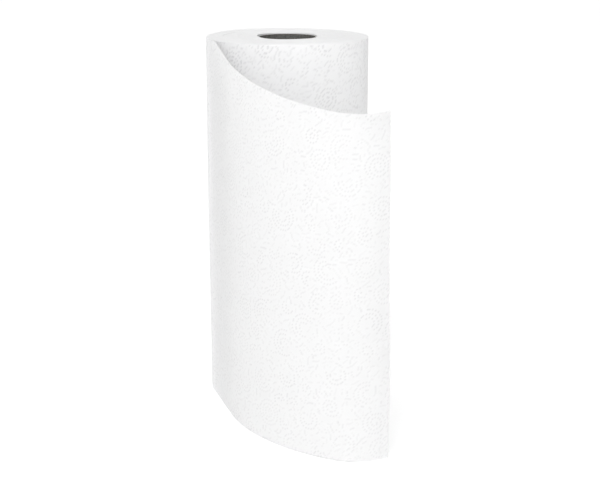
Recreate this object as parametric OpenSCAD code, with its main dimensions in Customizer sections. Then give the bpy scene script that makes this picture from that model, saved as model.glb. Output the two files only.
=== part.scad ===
// Paper towel roll: one web of embossed paper, wound on a card tube and standing on its end, with the outer turn
// peeled loose across the front. The origin is on the roll's axis, at the surface that the roll stands on.
// +Z is up and the loose sheet swings out towards -Y.

/* [Roll] */
// Width of the paper web, which is the height of the standing roll
web_w = 279; // [200:1:330]
// Diameter over the tight turns
roll_d = 122; // [90:1:160]

/* [Core] */
// Inside diameter of the card tube
core_bore_d = 42.5; // [36:0.5:50]
// Wall of the card tube
core_wall = 0.8; // [0.5:0.1:2]
// Gap between the tube and the first turn, which the glue takes up
core_fit = 0.1; // [0.05:0.05:0.4]

/* [Wound turns] */
// Turns that stand out on each end face
turns_shown = 12; // [4:1:16]
// Width of the gap that marks one turn from the next
turn_gap = 0.5; // [0.3:0.1:1]
// Depth of that gap below the end face
turn_gap_depth = 0.7; // [0.3:0.1:3]

/* [Loose sheet] */
// Thickness of the loose sheet over its embossing
sheet_t = 0.8; // [0.5:0.1:2]
// How far the sheet beds into the turn below it
sheet_bed = 0.15; // [0.05:0.05:0.4]
// Angle past the roll's left side at which the sheet leaves the roll
leave_deg = 17.5; // [5:0.5:40]
// Straight run of the sheet from there
run_l = 69; // [40:1:140]
// Inner radius of the curl that brings the sheet across the front
curl_r = 100; // [60:1:140]
// Angle through which the sheet curls up to its free edge
curl_deg = 80; // [40:1:110]
// Distance in front of the axis at which the upper edge starts to fall
fall_start = 51; // [30:1:90]
// Slope of the upper edge from there
fall_deg = 18; // [0:0.5:30]

/* [Hidden] */
$fn = 128;

roll_r = roll_d / 2;
core_r = core_bore_d / 2;
core_out_r = core_r + core_wall;
web_bore_r = core_out_r + core_fit;

// The loose sheet's inner face on the roll, and how far its outer face stands proud of the tight turns
sheet_in_r = roll_r - sheet_bed;
sheet_step = sheet_t - sheet_bed;
half_step = sheet_step / 2;

// One turn moves the spiral out by a pitch, half of it on each side of the roll
turn_pitch = (sheet_in_r - web_bore_r) / turns_shown;
half_pitch = turn_pitch / 2;

// Cuts run past the faces that they open by this much
overrun = 1;
// Reach of the cut above the sheet's falling upper edge, more than the sheet spans
reach = roll_d + run_l + 2 * curl_r;

// The web is drawn as if it left the roll at its left side, and is turned to where it does as a whole.
// Half of a disc on the back of the roll, from its right side round to its left
module half_disc(r) {
    rotate_extrude(angle = 180) square([r, web_w]);
}

// Half of a ring on the back of the roll, as deep as the gap between turns
module half_gap(r) {
    rotate_extrude(angle = 180) translate([r - turn_gap / 2, 0]) square([turn_gap, turn_gap_depth + overrun]);
}

// The gap between the turns: half rings about two centres, half a pitch apart, that join into one spiral
module spiral_gap() {
    for (i = [1 : turns_shown - 1]) {
        front_r = web_bore_r + i * turn_pitch;
        rotate([0, 0, 180]) half_gap(front_r);
        translate([-half_pitch, 0, 0]) half_gap(front_r + half_pitch);
    }
}

// The tight turns: the back half stands out by a sheet's step at the left, where the outer turn comes loose
module wound_turns() {
    difference() {
        union() {
            rotate([0, 0, 180]) half_disc(roll_r);
            translate([-half_step, 0, 0]) half_disc(roll_r + half_step);
        }
        translate([0, 0, -overrun]) cylinder(r = web_bore_r, h = web_w + 2 * overrun);
        translate([0, 0, -overrun]) spiral_gap();
        translate([0, 0, web_w - turn_gap_depth]) spiral_gap();
    }
}

// All that lies above the loose sheet's upper edge, which falls towards the front of the standing roll
module above_upper_edge() {
    translate([0, -fall_start, web_w]) rotate([fall_deg, 0, 0])
        translate([-reach, -reach, 0]) cube([2 * reach, reach, reach]);
}

// The outer turn from where it leaves the roll: straight on, then curled across the front
module loose_sheet() {
    difference() {
        rotate([0, 0, 180]) translate([sheet_in_r, 0, 0]) {
            cube([sheet_t, run_l, web_w]);
            translate([-curl_r, run_l, 0])
                rotate_extrude(angle = curl_deg) translate([curl_r, 0]) square([sheet_t, web_w]);
        }
        rotate([0, 0, -leave_deg]) above_upper_edge();
    }
}

// The whole paper web, wound and loose
module towel_web() {
    color("white") rotate([0, 0, leave_deg]) {
        wound_turns();
        loose_sheet();
    }
}

// The card tube, cut off flush with the web
module core_tube() {
    color("tan") difference() {
        cylinder(r = core_out_r, h = web_w);
        translate([0, 0, -overrun]) cylinder(r = core_r, h = web_w + 2 * overrun);
    }
}

towel_web();
core_tube();
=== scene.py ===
# %% [markdown]
# A roll of kitchen paper stands on its end, with its outer sheet peeled loose across the front. The real
# thing is one long web of embossed paper on a card tube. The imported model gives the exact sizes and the
# place of everything, so it is loaded first, and each piece below is made in the same frame: metres, +Z
# up, the floor at zero.

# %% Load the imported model
import math
import random

import bpy
import numpy as np
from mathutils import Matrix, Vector


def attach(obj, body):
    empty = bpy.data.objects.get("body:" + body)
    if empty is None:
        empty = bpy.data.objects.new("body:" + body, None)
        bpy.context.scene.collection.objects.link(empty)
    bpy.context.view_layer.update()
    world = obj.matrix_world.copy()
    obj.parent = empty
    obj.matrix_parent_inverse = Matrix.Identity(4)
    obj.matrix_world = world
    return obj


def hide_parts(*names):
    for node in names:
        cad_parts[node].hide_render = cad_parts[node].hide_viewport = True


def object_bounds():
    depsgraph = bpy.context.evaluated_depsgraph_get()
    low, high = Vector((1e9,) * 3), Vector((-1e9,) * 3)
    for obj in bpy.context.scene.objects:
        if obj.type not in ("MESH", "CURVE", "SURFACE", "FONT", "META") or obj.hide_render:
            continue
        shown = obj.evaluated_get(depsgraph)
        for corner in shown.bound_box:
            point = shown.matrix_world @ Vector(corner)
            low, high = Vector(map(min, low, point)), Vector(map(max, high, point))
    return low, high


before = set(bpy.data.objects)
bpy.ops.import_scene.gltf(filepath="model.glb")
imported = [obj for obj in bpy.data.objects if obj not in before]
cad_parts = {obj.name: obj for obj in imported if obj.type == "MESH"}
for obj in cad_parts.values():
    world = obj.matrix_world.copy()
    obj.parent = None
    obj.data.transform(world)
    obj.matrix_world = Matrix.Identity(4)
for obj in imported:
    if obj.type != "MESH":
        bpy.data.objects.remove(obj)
cad_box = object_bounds()
MM = 0.001
print("nodes:", sorted(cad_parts), "box:", [[round(c, 4) for c in corner] for corner in cad_box])

# %% [markdown]
# The camera comes before any piece, because it decides how much detail each side needs. The picture was
# taken from a little above the top of the roll, so the end face is a thin ellipse. A camera about a metre
# away, tipped down by nearly fifteen degrees, gives that ellipse and the deep sweep of the sheet's lower
# edge.

# %% Camera
bpy.ops.object.select_all(action="DESELECT")
CAMERA_PLACE = (9.54 * MM, -1000 * MM, 379.7 * MM)
CAMERA_TIP = math.radians(14.62)
bpy.ops.object.camera_add(location=CAMERA_PLACE, rotation=(math.pi / 2 - CAMERA_TIP, 0, 0))
camera = bpy.context.object
camera.name = "camera"
camera.data.sensor_width = 36
camera.data.lens = 78.4
camera.data.clip_end = 60
bpy.context.scene.camera = camera
print("camera at", [round(c, 3) for c in CAMERA_PLACE], "lens", camera.data.lens)

# %% [markdown]
# White paper on a white ground shows its shape only through soft shading. A lamp bright enough to turn the
# floor white would bleach the paper too. So the floor glows faintly by itself, a little more far from the
# roll than near it. The picture keeps plain display colours, so that white stays white.

# %% Floor
bpy.context.scene.view_settings.view_transform = "Standard"


def finish_with_nodes(name):
    finish = bpy.data.materials.new(name)
    finish.use_nodes = True
    nodes, links = finish.node_tree.nodes, finish.node_tree.links
    return finish, nodes, links, nodes["Principled BSDF"]


bpy.ops.mesh.primitive_plane_add(size=14, location=(0, 0, 0))
floor = bpy.context.object
floor.name = "floor"
pale_floor, nodes, links, shader = finish_with_nodes("pale_floor")
shader.inputs["Base Color"].default_value = (0.95, 0.95, 0.95, 1)
shader.inputs["Roughness"].default_value = 0.9
shader.inputs["Specular IOR Level"].default_value = 0.1
shader.inputs["Emission Color"].default_value = (1, 1, 1, 1)
place = nodes.new("ShaderNodeTexCoord")
away = nodes.new("ShaderNodeVectorMath")
away.operation = "LENGTH"
glow = nodes.new("ShaderNodeMapRange")
glow.inputs["From Min"].default_value = 0.15
glow.inputs["From Max"].default_value = 1.0
glow.inputs["To Min"].default_value = 0.26
glow.inputs["To Max"].default_value = 0.32
links.new(place.outputs["Object"], away.inputs[0])
links.new(away.outputs["Value"], glow.inputs["Value"])
links.new(glow.outputs["Result"], shader.inputs["Emission Strength"])
floor.data.materials.append(pale_floor)
print("floor:", len(nodes), "nodes")

# %% [markdown]
# The sky is brightest overhead and dims to both sides, so whatever faces left or right turns a little grey
# and the round shape shows. An even white sky would leave the roll flat. The strength is a sum of two
# terms, one that falls with the distance to either side and one that grows with the height.

# %% Sky
sky = bpy.data.worlds.new("soft_sky")
sky.use_nodes = True
nodes, links = sky.node_tree.nodes, sky.node_tree.links
towards = nodes.new("ShaderNodeTexCoord")
parts = nodes.new("ShaderNodeSeparateXYZ")
sideways = nodes.new("ShaderNodeMath")
sideways.operation = "ABSOLUTE"
less_aside = nodes.new("ShaderNodeMath")
less_aside.operation = "MULTIPLY_ADD"
less_aside.inputs[1].default_value = -0.46
less_aside.inputs[2].default_value = 0.46
more_above = nodes.new("ShaderNodeMath")
more_above.operation = "MULTIPLY_ADD"
more_above.inputs[1].default_value = 0.7
links.new(towards.outputs["Generated"], parts.inputs["Vector"])
links.new(parts.outputs["X"], sideways.inputs[0])
links.new(sideways.outputs["Value"], less_aside.inputs[0])
links.new(parts.outputs["Z"], more_above.inputs[0])
links.new(less_aside.outputs["Value"], more_above.inputs[2])
nodes["Background"].inputs["Color"].default_value = (1, 1, 1, 1)
links.new(more_above.outputs["Value"], nodes["Background"].inputs["Strength"])
bpy.context.scene.world = sky
print("sky:", len(nodes), "nodes")

# %% [markdown]
# Two broad lamps stand in front, a little to the left. The high one does most of the work. The low one is
# weak and lifts the lower half of the sheet, which the high one reaches at a flatter angle. Large lamps
# give soft shadows, as in a photographer's light tent.

# %% Lamps


def softbox(name, place, aim, size, watts):
    bpy.ops.object.light_add(type="AREA", location=place)
    lamp = bpy.context.object
    lamp.name = name
    lamp.data.shape = "SQUARE"
    lamp.data.size = size
    lamp.data.energy = watts
    lamp.rotation_euler = (Vector(aim) - Vector(place)).to_track_quat("-Z", "Y").to_euler()
    print(name, "of", watts, "W")


softbox("high_softbox", place=(-0.8, -2.4, 2.9), aim=(0, 0, 0.2), size=2.4, watts=29.5)
softbox("front_softbox", place=(-0.3, -2.2, 0.45), aim=(0, 0, 0.1), size=1.0, watts=8.7)

# %% [markdown]
# These are the sizes that the model was drawn to, in millimetres. The width of the web is read from the
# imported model's box. The web is wound forty-six times, which makes each turn as thick as two plies of
# embossed paper. It leaves the roll on the left and runs straight on along the tangent, then sweeps across
# the front in a wide curl that tightens towards the free end.

# %% Sizes of the roll and its web
WEB_WIDTH = round((cad_box[1][2] - cad_box[0][2]) / MM, 2)
ROLL_RADIUS = 61.0
BORE_RADIUS = 21.25
CORE_RADIUS = 22.05
CLEARANCE = 0.1
TURNS = 46
TURN_PITCH = (ROLL_RADIUS - CORE_RADIUS - CLEARANCE) / TURNS
GIRTH = math.tau * ROLL_RADIUS
LEAVE = math.radians(197.5)
RUN = 52.0
WIDE_RADIUS = 142.0
WIDE_LENGTH = 117.0
TIGHT_RADIUS = 40.0
TIGHT_LENGTH = 41.0
LOOSE = RUN + WIDE_LENGTH + TIGHT_LENGTH
FALL_START = 37.5
FALL = math.radians(16)
print(f"web {WEB_WIDTH} mm wide, each turn {TURN_PITCH:.3f} mm thick, girth {GIRTH:.1f} mm, loose {LOOSE} mm")

# %% [markdown]
# Kitchen paper gets its bulk from a dense pattern of small pressed marks. Here they follow bubbles, swirls
# and shells of a plain design, each a row of dots. They are packed at random but always in the same way,
# because the random numbers are seeded. The pattern is drawn once for the whole length of web that shows,
# so it runs on from the roll into the loose sheet.

# %% Motifs of the pressed pattern
LINE_STEP = 1.2
DOT_STEP = 2.2
RING_GAP = 3.0
SMALLEST_BUBBLE = 1.5
SMALLEST_ARC = 1.2
SHELL_SWEEP = (2.8, 4.6)
draw = random.Random(27)


def any_turn():
    return draw.uniform(0, 6)


def arc(u, v, radius, start, sweep, step):
    count = max(2, round(abs(radius * sweep) / step))
    turns = [start + sweep * k / count for k in range(count)]
    return [(u + radius * math.cos(turn), v + radius * math.sin(turn)) for turn in turns]


def bubble(u, v, radius):
    path = []
    while radius > SMALLEST_BUBBLE:
        path += arc(u, v, radius, any_turn(), math.tau, DOT_STEP)
        radius -= RING_GAP
    return path


def swirl(u, v, radius):
    turn, hand, path = any_turn(), draw.choice((-1, 1)), []
    while radius > SMALLEST_ARC:
        path.append((u + radius * math.cos(turn), v + hand * radius * math.sin(turn)))
        turn += DOT_STEP / radius
        radius -= DOT_STEP * RING_GAP / (math.tau * radius)
    return path


def shell(u, v, radius):
    start, path = any_turn(), []
    while radius > SMALLEST_ARC:
        path += arc(u, v, radius, start, draw.uniform(*SHELL_SWEEP), DOT_STEP)
        radius -= RING_GAP
    return path


print(f"dots {DOT_STEP} mm apart, rings {RING_GAP} mm apart, strokes in steps of {LINE_STEP} mm")

# %% [markdown]
# The motifs get their places first, from the largest circle to the smallest. A circle is kept only where it
# stands clear of those before it, so the small ones fill the gaps between the large ones, as they would in a
# pattern drawn by hand.

# %% Places of the motifs
MOTIF_SIZES = ((9.5, 160), (7, 300), (4.6, 700))
MOTIF_GAP = 2.1
MOTIFS_PAST = (10, 8)


def anywhere(past_ends, past_edges):
    u = draw.uniform(-GIRTH - past_ends, LOOSE + past_ends)
    v = draw.uniform(-past_edges, WEB_WIDTH + past_edges)
    return u, v


rounds = []
for radius, tries in MOTIF_SIZES:
    for _ in range(tries):
        u, v = anywhere(*MOTIFS_PAST)
        if all((u - a) ** 2 + (v - b) ** 2 > (radius + c + MOTIF_GAP) ** 2 for a, b, c in rounds):
            rounds.append((u, v, radius))
print(len(rounds), "motifs")

# %% [markdown]
# The marks themselves follow in two steps: the dots of the motifs, and then short, fainter strokes in the
# room that is left. Each mark carries the force it is pressed with. A mark needs room too, and a coarse table
# of squares makes that test quick, because only the squares around a mark have to be searched.

# %% Lay out the marks
SQUARE = 3
DOT_ROOM = 1.8
DOT_FORCE = (0.65, 1)
STROKE_TRIES = 50000
STROKES_PAST = (5, 3)
STROKE_RADIUS = (4, 11)
STROKE_SWEEP = (0.3, 0.9)
STROKE_ROOM = 1.95
STROKE_FORCE = (0.3, 0.75)
marks, near = [], {}


def has_room(a, b, room):
    i, j = int(a // SQUARE), int(b // SQUARE)
    around = [near.get((i + across, j + up), ()) for across in (-1, 0, 1) for up in (-1, 0, 1)]
    return all((a - c) ** 2 + (b - d) ** 2 > room ** 2 for found in around for c, d in found)


def add_marks(path, force):
    for a, b in path:
        near.setdefault((int(a // SQUARE), int(b // SQUARE)), []).append((a, b))
        marks.append((a, b, force))


for u, v, radius in rounds:
    path = draw.choice((bubble, swirl, shell, shell, shell))(u, v, radius)
    add_marks([(a, b) for a, b in path if has_room(a, b, DOT_ROOM)], draw.uniform(*DOT_FORCE))
in_motifs = len(marks)
for _ in range(STROKE_TRIES):
    u, v = anywhere(*STROKES_PAST)
    sweep, step = draw.uniform(*STROKE_SWEEP), draw.choice((LINE_STEP, LINE_STEP, DOT_STEP))
    stroke = arc(u, v, draw.uniform(*STROKE_RADIUS), any_turn(), sweep, step)
    if all(has_room(a, b, STROKE_ROOM) for a, b in stroke):
        add_marks(stroke, draw.uniform(*STROKE_FORCE))
print(in_motifs, "marks in the motifs,", len(marks) - in_motifs, "marks between them")

# %% [markdown]
# The paper starts as a flat, fine grid. A Displace modifier with a picture could press the pattern in, but it
# would need a far finer grid. Here the grid point nearest to each mark moves onto it and is pressed down, so
# marks close together become a groove, and single marks become dots. The pressed points are also noted in an
# attribute, which the paper's colour reads later to grey them and paint shade into each mark.

# %% Flat embossed paper
MARK_DEPTH = 0.3


def read_points(piece):
    flat = np.empty(len(piece.data.vertices) * 3, dtype=np.float32)
    piece.data.vertices.foreach_get("co", flat)
    return flat.reshape(-1, 3).astype(float) / MM


def write_points(piece, x, y, z):
    points = np.stack((x, y, z), axis=1) * MM
    piece.data.vertices.foreach_set("co", points.astype(np.float32).ravel())
    piece.data.update()


def flat_grid(name, first, last, height, columns, rows):
    bpy.ops.object.select_all(action="DESELECT")
    bpy.ops.mesh.primitive_grid_add(x_subdivisions=columns, y_subdivisions=rows, size=2)
    sheet = bpy.context.object
    sheet.name = sheet.data.name = name
    x, y, z = read_points(sheet).T * MM
    write_points(sheet, (first + last + (last - first) * x) / 2, (1 + y) / 2 * height, z)
    return sheet


def note(sheet, name, values):
    sheet.data.attributes.new(name, "FLOAT", "POINT").data.foreach_set("value", values)


def press_marks(sheet, first, last, columns, rows):
    across, up = (last - first) / columns, WEB_WIDTH / rows
    points = read_points(sheet)
    column = np.rint((points[:, 0] - first) / across).astype(int)
    row = np.rint(points[:, 1] / up).astype(int)
    at = np.zeros((columns + 1, rows + 1), dtype=int)
    at[column, row] = np.arange(len(points))
    press = np.zeros(len(points), dtype=np.float32)
    for u, v, force in marks:
        i, j = round((u - first) / across), round(v / up)
        if 0 < i < columns and 0 < j < rows and not press[at[i, j]]:
            press[at[i, j]] = force
            points[at[i, j]] = (u, v, -MARK_DEPTH * force)
    write_points(sheet, *points.T)
    note(sheet, "press", press)
    print(sheet.name, "has", np.count_nonzero(press), "pressed points")


print(f"marks are pressed up to {MARK_DEPTH} mm deep")

# %% [markdown]
# The loose sheet follows a path seen from above: straight on from the roll, then round the curl. The path is
# walked in short strides, and each stride goes where the paper heads there. That joins the straight run and
# the two arcs smoothly, without working out where one ends and the next begins.

# %% Path of the loose sheet
STRIDE = 0.1
PAST_END = 5


def facing(u):
    wide = np.clip(u - RUN, 0, WIDE_LENGTH) / WIDE_RADIUS
    tight = np.maximum(u - RUN - WIDE_LENGTH, 0) / TIGHT_RADIUS
    return LEAVE + wide + tight


walked = np.arange(0, LOOSE + PAST_END, STRIDE)
path_x = (ROLL_RADIUS + TURN_PITCH) * math.cos(LEAVE) - STRIDE * np.cumsum(np.sin(facing(walked)))
path_y = (ROLL_RADIUS + TURN_PITCH) * math.sin(LEAVE) + STRIDE * np.cumsum(np.cos(facing(walked)))
print(f"path reaches {path_y.min():.1f} mm to the front and {path_x.max():.1f} mm to the right")

# %% [markdown]
# The sheet is made flat and embossed before it is bent. Its free edge was torn at a perforation, so every
# third point of that edge stands out as a small tooth. A single sheet lets light through, while the roll is
# too thick for that. So an attribute rises from nothing at the roll to one a little way along the sheet.

# %% Loose sheet, still flat
SHEET_COLUMNS = 192
SHEET_ROWS = 256
TORN_EDGE = 0.5
TOOTH_EVERY = 3
TOOTH_OUT = 0.35
TOOTH_IN = 0.25
ROOT_FADE = 42.0
loose_sheet = flat_grid("loose_sheet", 0, LOOSE, WEB_WIDTH, SHEET_COLUMNS, SHEET_ROWS)
for point in loose_sheet.data.vertices:
    if point.co.x > (LOOSE - TORN_EDGE) * MM:
        row = round(point.co.y / MM * SHEET_ROWS / WEB_WIDTH)
        point.co.x += (TOOTH_OUT if row % TOOTH_EVERY == 0 else -TOOTH_IN) * MM
press_marks(loose_sheet, 0, LOOSE, SHEET_COLUMNS, SHEET_ROWS)
u, v, w = read_points(loose_sheet).T
note(loose_sheet, "see_through", np.clip(u / ROOT_FADE, 0, 1).astype(np.float32))
print("flat sheet:", len(loose_sheet.data.polygons), "faces")

# %% [markdown]
# Now each point is carried to its place on the path. The free edge leans a little, and slow waves grow
# towards it, because paper that hangs loose is never quite flat. A Curve modifier could bend the sheet as
# well, but with the path at hand the lean and the waves are one line each.

# %% Bend the loose sheet
LEAN = 1.4
LEAN_RISE = 75
SHEET_WAVES = ((0.55, 23, 41, 0), (0.35, 57, -29, 1))
u = u + u / LOOSE * (LEAN - v / LEAN_RISE)
slack = (u / LOOSE) ** 2
w = w + slack * sum(size * np.sin(v / tall + u / wide + phase) for size, tall, wide, phase in SHEET_WAVES)
x = np.interp(u, walked, path_x) + w * np.cos(facing(u))
y = np.interp(u, walked, path_y) + w * np.sin(facing(u))
write_points(loose_sheet, x, y, v)
print(f"bent sheet: {x.min():.1f} to {x.max():.1f} mm across, {y.min():.1f} to {y.max():.1f} mm deep")

# %% [markdown]
# The sheet's upper edge falls towards the free end, so a slanting plane cuts it. A Solidify modifier then
# gives the paper its thickness, and each mark that is sunk in front stands out behind, as on real paper.

# %% Trim and thicken the loose sheet
PAPER = 0.36
PAPER_CREASE = math.radians(50)
bpy.ops.object.mode_set(mode="EDIT")
bpy.ops.mesh.select_all(action="SELECT")
bpy.ops.mesh.bisect(plane_co=(0, -FALL_START * MM, WEB_WIDTH * MM),
                    plane_no=(0, -math.sin(FALL), math.cos(FALL)), clear_outer=True)
bpy.ops.object.mode_set(mode="OBJECT")
thicken = loose_sheet.modifiers.new("thickness", "SOLIDIFY")
thicken.thickness = PAPER * MM
thicken.offset = -1
bpy.ops.object.modifier_apply(modifier=thicken.name)
bpy.ops.object.shade_smooth_by_angle(angle=PAPER_CREASE)
print("loose sheet:", len(loose_sheet.data.polygons), "faces")

# %% [markdown]
# The wound roll has four skins: the embossed outer turn, the two ends and the bore. Each is made flat and
# then wrapped round the axis by the same few lines, in which every turn moves out by the thickness of the
# paper. So the ends show one true spiral, where stacked rings would not, and after a full turn each skin
# meets itself one turn further out. Slow waves keep the outside from looking machined.

# %% Outer turn of the wound roll
ROLL_COLUMNS = 320
ROLL_ROWS = 214
ROLL_WAVES = ((0.2, 2, 90, 0), (0.12, 5, -47, 2))
WAVES_START = 40
WAVES_RAMP = 20
EDGE_ZONE = 1
WANDER_PACE = (0.4, 3.7)
WANDER_SIZE = (0.07, 0.16)
wander = [(draw.uniform(*WANDER_PACE), any_turn(), draw.uniform(*WANDER_SIZE)) for _ in range(7)]


def wrap(skin, turn):
    u, v, w = read_points(skin).T
    grown = 1 + u / GIRTH
    angle = LEAVE + math.tau * u / GIRTH
    radius = ROLL_RADIUS + TURN_PITCH * grown + w
    outer = np.clip((radius - WAVES_START) / WAVES_RAMP, 0, 1)
    waves = sum(size * np.sin(count * angle + v / tall + phase) for size, count, tall, phase in ROLL_WAVES)
    radius = radius + outer * waves
    spiral = turn - grown
    uneven = sum(size * np.sin(math.tau * pace * spiral + phase) for pace, phase, size in wander)
    at_floor = np.where(v < EDGE_ZONE, np.maximum(uneven, 0), 0)
    lift = np.where(v > WEB_WIDTH - EDGE_ZONE, uneven, at_floor)
    write_points(skin, radius * np.cos(angle), radius * np.sin(angle), v + lift)


outer_turn = flat_grid("wound_roll", -GIRTH, 0, WEB_WIDTH, ROLL_COLUMNS, ROLL_ROWS)
press_marks(outer_turn, -GIRTH, 0, ROLL_COLUMNS, ROLL_ROWS)
wrap(outer_turn, 0)
skins = [outer_turn]
print("outer turn:", len(outer_turn.data.polygons), "faces")

# %% [markdown]
# Each end is a grid with one row of points to a turn, on the paper's edge. The edges wander up and down a
# little along the spiral, as those of paper that was wound at speed do, so neighbouring turns stand at
# different heights and the turns show. On the lower end they only draw back, because the roll stands on it.

# %% Ends and bore of the wound roll
for name, base in (("upper_end", WEB_WIDTH), ("lower_end", 0.0)):
    end_skin = flat_grid(name, -GIRTH, 0, TURNS, ROLL_COLUMNS, TURNS)
    u, turn, w = read_points(end_skin).T
    write_points(end_skin, u, np.full_like(u, base), -turn * TURN_PITCH)
    wrap(end_skin, turn)
    skins.append(end_skin)
bore_skin = flat_grid("bore", -GIRTH, 0, WEB_WIDTH, ROLL_COLUMNS, 1)
u, v, w = read_points(bore_skin).T
write_points(bore_skin, u, v, w - TURNS * TURN_PITCH)
wrap(bore_skin, TURNS)
skins.append(bore_skin)
print("skins:", [(skin.name, len(skin.data.polygons)) for skin in skins])

# %% [markdown]
# The four skins become one closed mesh. Points that lie on each other are merged, and the narrow steps that
# are left, where the spiral begins and ends, are filled. The normals are then turned outwards, and the last
# lines count the edges that are still open. There should be none.

# %% Join the skins
SKIN_MERGE = 0.02
bpy.ops.object.select_all(action="DESELECT")
for skin in skins:
    skin.select_set(True)
bpy.context.view_layer.objects.active = outer_turn
bpy.ops.object.join()
wound_roll = bpy.context.object
bpy.ops.object.mode_set(mode="EDIT")
bpy.ops.mesh.select_mode(type="EDGE")
bpy.ops.mesh.select_all(action="SELECT")
bpy.ops.mesh.remove_doubles(threshold=SKIN_MERGE * MM)
bpy.ops.mesh.select_all(action="DESELECT")
bpy.ops.mesh.select_non_manifold()
bpy.ops.mesh.fill_holes(sides=0)
bpy.ops.mesh.select_all(action="SELECT")
bpy.ops.mesh.normals_make_consistent(inside=False)
bpy.ops.mesh.select_all(action="DESELECT")
bpy.ops.mesh.select_non_manifold()
bpy.ops.object.mode_set(mode="OBJECT")
left_open = sum(edge.select for edge in wound_roll.data.edges)
bpy.ops.object.shade_smooth_by_angle(angle=PAPER_CREASE)
print("wound roll:", len(wound_roll.data.polygons), "faces,", left_open, "open edges")

# %% [markdown]
# The tube is card that was wound in a helix from a strip, so a low step runs round its wall where one lap of
# the strip meets the next. A plain cylinder would miss that. The start is one upright line of points with a
# small step at its top, made from a plane that loses two of its corners.

# %% Line of the card tube
LAP = 92.0
LAP_STEP = 0.14
LAP_EDGE = 0.5
bpy.ops.object.select_all(action="DESELECT")
bpy.ops.mesh.primitive_plane_add(size=1)
card_tube = bpy.context.object
card_tube.name = card_tube.data.name = "card_tube"
for part in list(card_tube.data.edges) + list(card_tube.data.polygons):
    part.select = False
for point in card_tube.data.vertices:
    point.select = point.co.x > 0
bpy.ops.object.mode_set(mode="EDIT")
bpy.ops.mesh.select_mode(type="VERT")
bpy.ops.mesh.delete(type="VERT")
bpy.ops.object.mode_set(mode="OBJECT")
low, high = sorted(card_tube.data.vertices, key=lambda point: point.co.y)
low.co = (BORE_RADIUS * MM, 0, -LAP * MM)
high.co = (BORE_RADIUS * MM, 0, -LAP_EDGE * MM)
low.select, high.select = False, True
bpy.ops.object.mode_set(mode="EDIT")
bpy.ops.mesh.extrude_region_move(TRANSFORM_OT_translate={"value": (LAP_STEP * MM, 0, LAP_EDGE * MM)})
bpy.ops.object.mode_set(mode="OBJECT")
print("line of the tube:", len(card_tube.data.vertices), "points")

# %% [markdown]
# A Screw modifier turns the line round the axis and lets it climb by one lap a turn, as the winding machine
# does. Two cuts square off the ends, a little inside the ends of the web, and Solidify gives the card its
# thickness.

# %% Wind and cut the card tube
SCREW_MERGE = 0.002
LAP_MERGE = 0.01
CUT_BACK = 0.4
CARD = 0.62
CARD_CREASE = math.radians(40)
climb = card_tube.modifiers.new("climb", "SCREW")
climb.axis = "Z"
climb.angle = math.tau
climb.screw_offset = LAP * MM
climb.iterations = 5
climb.steps = climb.render_steps = 72
climb.use_merge_vertices = True
climb.merge_threshold = SCREW_MERGE * MM
bpy.ops.object.modifier_apply(modifier=climb.name)
bpy.ops.object.mode_set(mode="EDIT")
bpy.ops.mesh.select_all(action="SELECT")
bpy.ops.mesh.remove_doubles(threshold=LAP_MERGE * MM)
for height, outwards in ((CUT_BACK, -1), (WEB_WIDTH - CUT_BACK, 1)):
    bpy.ops.mesh.select_all(action="SELECT")
    bpy.ops.mesh.bisect(plane_co=(0, 0, height * MM), plane_no=(0, 0, outwards), clear_outer=True)
bpy.ops.object.mode_set(mode="OBJECT")
wall = card_tube.modifiers.new("wall", "SOLIDIFY")
wall.thickness = CARD * MM
wall.offset = 1
bpy.ops.object.modifier_apply(modifier=wall.name)
bpy.ops.object.mode_set(mode="EDIT")
bpy.ops.mesh.select_all(action="SELECT")
bpy.ops.mesh.normals_make_consistent(inside=False)
bpy.ops.object.mode_set(mode="OBJECT")
bpy.ops.object.shade_smooth_by_angle(angle=CARD_CREASE)
reach = [round(math.hypot(point.co.x, point.co.y) / MM, 2) for point in card_tube.data.vertices]
print("card tube:", len(card_tube.data.polygons), "faces, radius", min(reach), "to", max(reach))

# %% [markdown]
# Kitchen paper is soft, white and quite matte, with a faint mottle. A pressed mark is painted greyer: partly
# the close plies, mostly painted shade in the dimple. A single sheet also lets light through, which the
# subsurface weight
# stands for: the attribute on the loose sheet raises it from the roll outwards, so no line shows where the
# sheet leaves the roll. The three helpers serve the card of the tube as well.

# %% Towel paper, its colour


def noise(vector, scale, detail, distortion=0.0):
    texture = nodes.new("ShaderNodeTexNoise")
    texture.inputs["Scale"].default_value = scale
    texture.inputs["Detail"].default_value = detail
    texture.inputs["Distortion"].default_value = distortion
    links.new(vector, texture.inputs["Vector"])
    return texture.outputs["Fac"]


def two_tones(amount, low_tone, high_tone):
    ramp = nodes.new("ShaderNodeValToRGB")
    for stop, (position, colour) in zip(ramp.color_ramp.elements, (low_tone, high_tone)):
        stop.position = position
        stop.color = colour
    links.new(amount, ramp.inputs["Fac"])
    return ramp.outputs["Color"]


def mixed_in(amount, under, over):
    mix = nodes.new("ShaderNodeMix")
    mix.data_type = "RGBA"
    mix.inputs["B"].default_value = over
    links.new(amount, mix.inputs["Factor"])
    links.new(under, mix.inputs["A"])
    return mix.outputs["Result"]


towel_paper, nodes, links, shader = finish_with_nodes("towel_paper")
shader.inputs["Roughness"].default_value = 0.95
shader.inputs["Specular IOR Level"].default_value = 0.15
shader.inputs["Subsurface Radius"].default_value = (1, 1, 1)
shader.inputs["Subsurface Scale"].default_value = 2 * MM
place = nodes.new("ShaderNodeTexCoord")
mottle = noise(place.outputs["Object"], scale=70, detail=4)
white = two_tones(mottle, (0.3, (0.945, 0.945, 0.95, 1)), (0.7, (0.965, 0.965, 0.968, 1)))
pressed = nodes.new("ShaderNodeAttribute")
pressed.attribute_name = "press"
# painted shade: the colour darkens at each pressed mark for the shade in its dimple, with a little real
# greying of pressed paper
pressed_grey_and_shade = mixed_in(pressed.outputs["Fac"], white, (0.78, 0.78, 0.787, 1))
links.new(pressed_grey_and_shade, shader.inputs["Base Color"])

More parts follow.
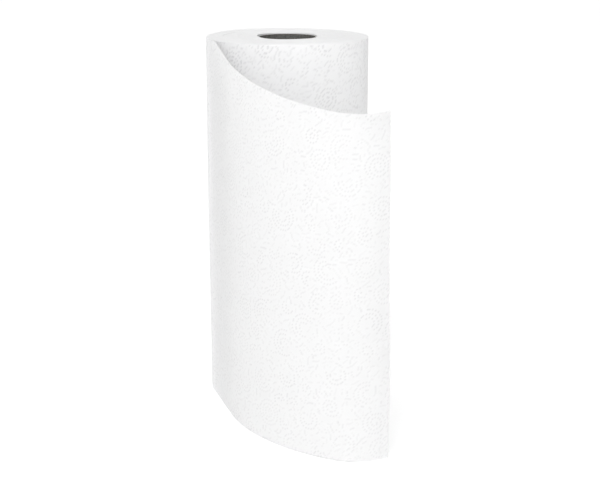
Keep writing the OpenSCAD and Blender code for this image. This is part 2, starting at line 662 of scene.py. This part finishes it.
single = nodes.new("ShaderNodeAttribute")
single.attribute_name = "see_through"
soft = nodes.new("ShaderNodeMapRange")
soft.inputs["To Min"].default_value = 0.1
soft.inputs["To Max"].default_value = 1.0
links.new(single.outputs["Fac"], soft.inputs["Value"])
links.new(soft.outputs["Result"], shader.inputs["Subsurface Weight"])
print("towel paper, its colour:", len(nodes), "nodes")

# %% [markdown]
# The paper's own texture is a fine crepe, tiny wrinkles that run up the roll, with loose fibres over them.
# These are too small for geometry, so they are bump in the material. The crepe is noise that is stretched
# upwards, and the fibres are coarser noise that is bent about.

# %% Towel paper, its crepe


def bump(height, strength, distance):
    relief = nodes.new("ShaderNodeBump")
    relief.inputs["Strength"].default_value = strength
    relief.inputs["Distance"].default_value = distance * MM
    links.new(height, relief.inputs["Height"])
    return relief


upright = nodes.new("ShaderNodeMapping")
upright.inputs["Scale"].default_value = (1, 1, 0.22)
links.new(place.outputs["Object"], upright.inputs["Vector"])
crepe = bump(noise(upright.outputs["Vector"], scale=1500, detail=3), strength=0.35, distance=0.12)
fibre = bump(noise(place.outputs["Object"], scale=420, detail=5, distortion=1.2), strength=0.3, distance=0.2)
links.new(crepe.outputs["Normal"], fibre.inputs["Normal"])
links.new(fibre.outputs["Normal"], shader.inputs["Normal"])
print("towel paper, with its crepe:", len(nodes), "nodes")

# %% [markdown]
# The tube is grey board made from waste paper: dark, dull and flecked with short fibres. Its cut ends are
# paler, because the knife opens the fibres. The shader finds them by the way they face: up or down, unlike
# the wall.

# %% Core card
core_card, nodes, links, shader = finish_with_nodes("core_card")
shader.inputs["Roughness"].default_value = 0.9
shader.inputs["Specular IOR Level"].default_value = 0.2
place = nodes.new("ShaderNodeTexCoord")
fleck = noise(place.outputs["Object"], scale=650, detail=6, distortion=0.8)
board = two_tones(fleck, (0.32, (0.13, 0.13, 0.122, 1)), (0.68, (0.235, 0.231, 0.217, 1)))
sides = nodes.new("ShaderNodeSeparateXYZ")
links.new(place.outputs["Normal"], sides.inputs["Vector"])
upward = nodes.new("ShaderNodeMath")
upward.operation = "ABSOLUTE"
links.new(sides.outputs["Z"], upward.inputs[0])
cut_end = nodes.new("ShaderNodeMapRange")
cut_end.inputs["From Min"].default_value = 0.6
cut_end.inputs["From Max"].default_value = 0.8
links.new(upward.outputs["Value"], cut_end.inputs["Value"])
paler = mixed_in(cut_end.outputs["Result"], board, (0.62, 0.61, 0.58, 1))
links.new(paler, shader.inputs["Base Color"])
rough = bump(fleck, strength=0.4, distance=0.1)
links.new(rough.outputs["Normal"], shader.inputs["Normal"])
print("core card:", len(nodes), "nodes")

# %% [markdown]
# Each piece is now given its finish, and the part of the imported model that it stands for is hidden. All of
# it is one body, because nothing on a roll of paper moves by itself.

# %% Put the pieces in the frame
for piece, finish, slot, node in (
    (wound_roll, towel_paper, "towel_paper", "towel_web"),
    (loose_sheet, towel_paper, "towel_paper", "towel_web"),
    (card_tube, core_card, "core_card", "core_tube"),
):
    piece.data.materials.clear()
    piece.data.materials.append(finish)
    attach(piece, "root")
    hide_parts(node)
    print(piece.name, "stands for", node)
